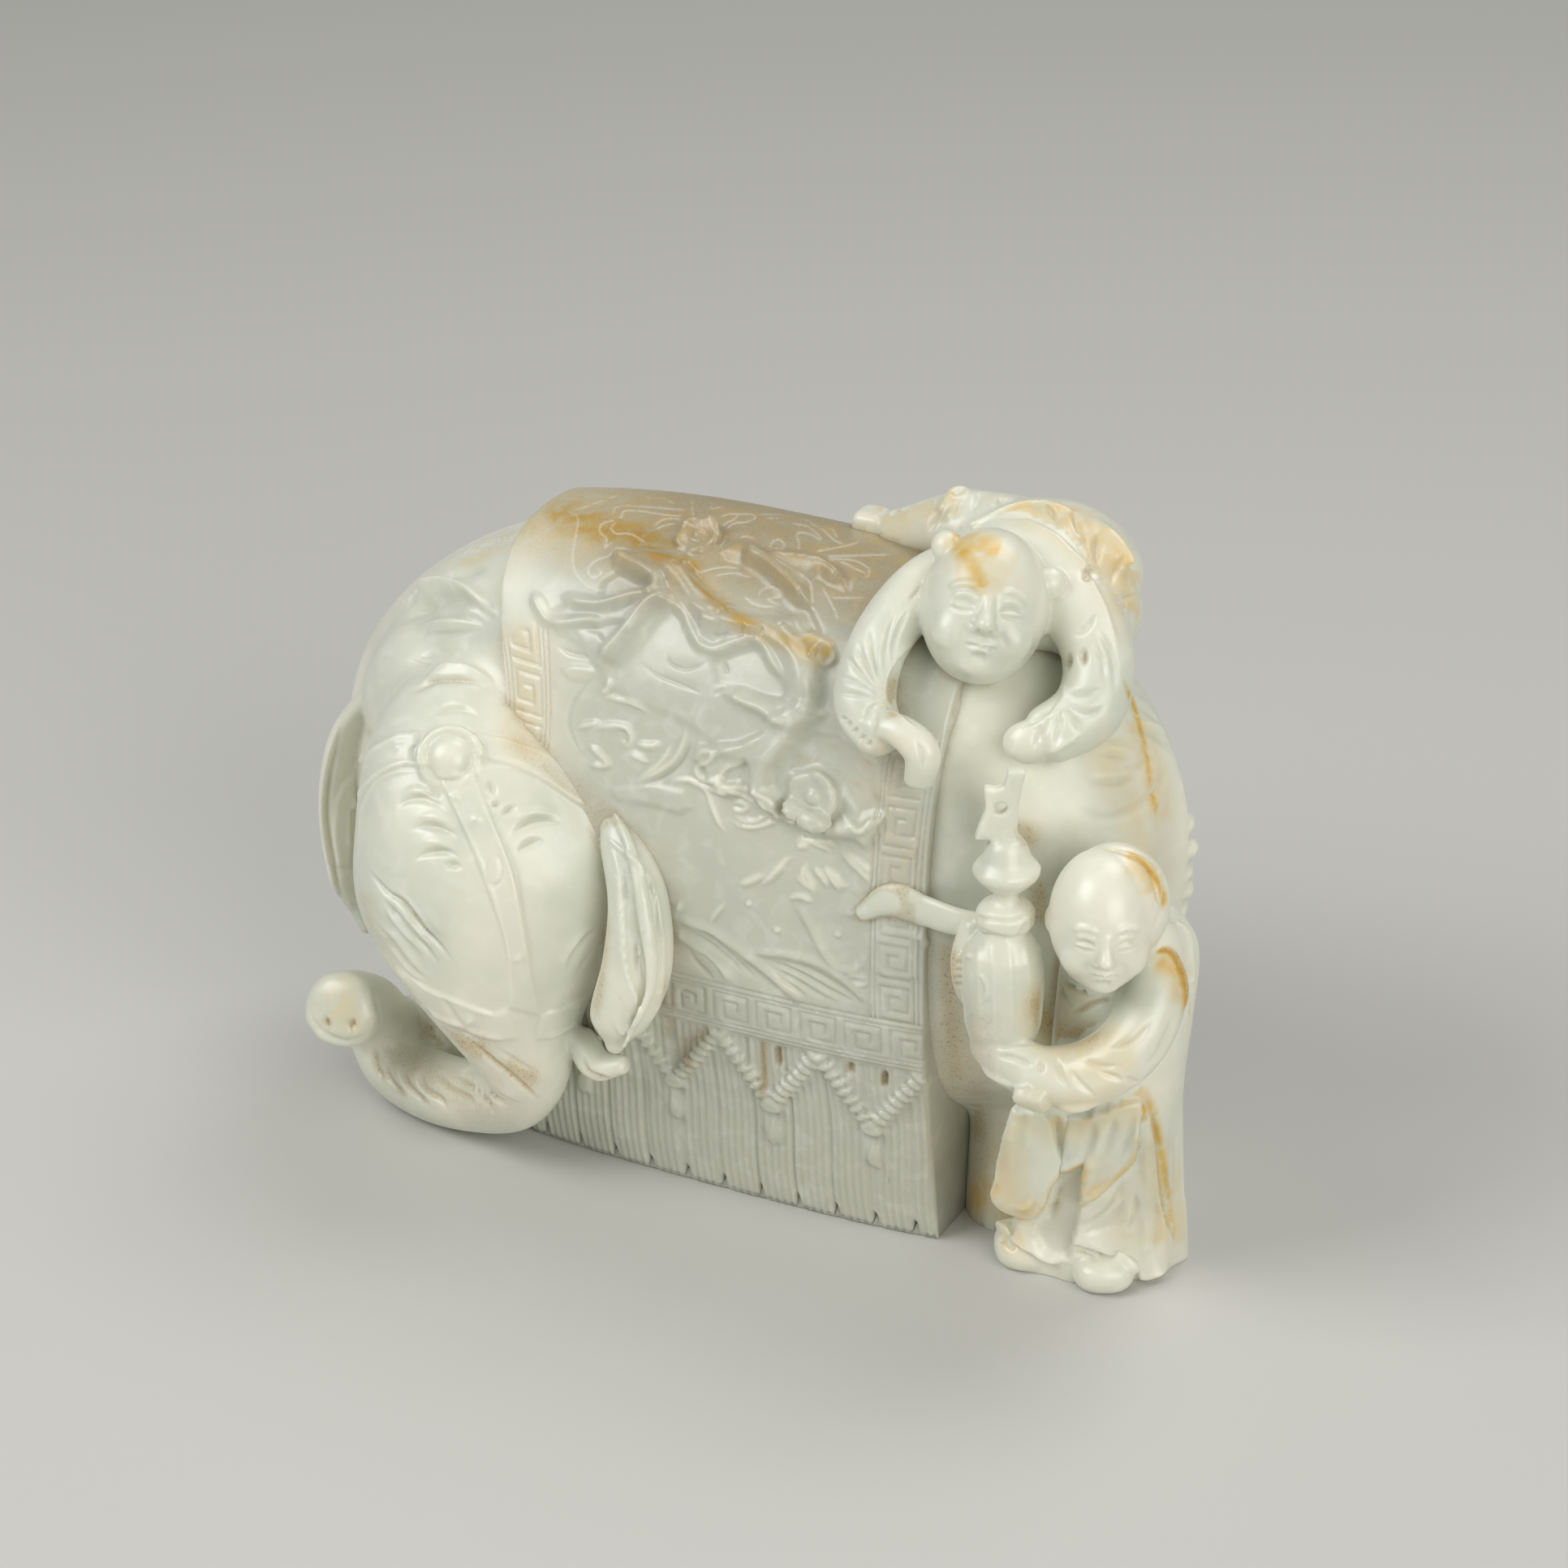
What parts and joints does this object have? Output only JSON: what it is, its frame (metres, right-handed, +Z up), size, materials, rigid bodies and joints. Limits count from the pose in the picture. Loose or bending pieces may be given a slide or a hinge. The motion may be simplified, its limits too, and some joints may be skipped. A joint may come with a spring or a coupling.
{
  "type": "jade figure group",
  "caption": "Small carved jade group of an elephant under a fringed cloth with boys at its side and on its back, flat underneath so that it stands by itself.",
  "frame": {"origin": "on the ground, under the middle of the whole group", "axes": "+Z up, +X along the elephant towards its rump, -Y towards the carved show side that the elephant's head and the boys face"},
  "size_m": [0.1336, 0.0696, 0.1013],
  "materials": {
    "polished_nephrite": "waxy polish"
  },
  "bodies": {
    "root": {"jade_group": "polished_nephrite"}
  },
  "joints": []
}
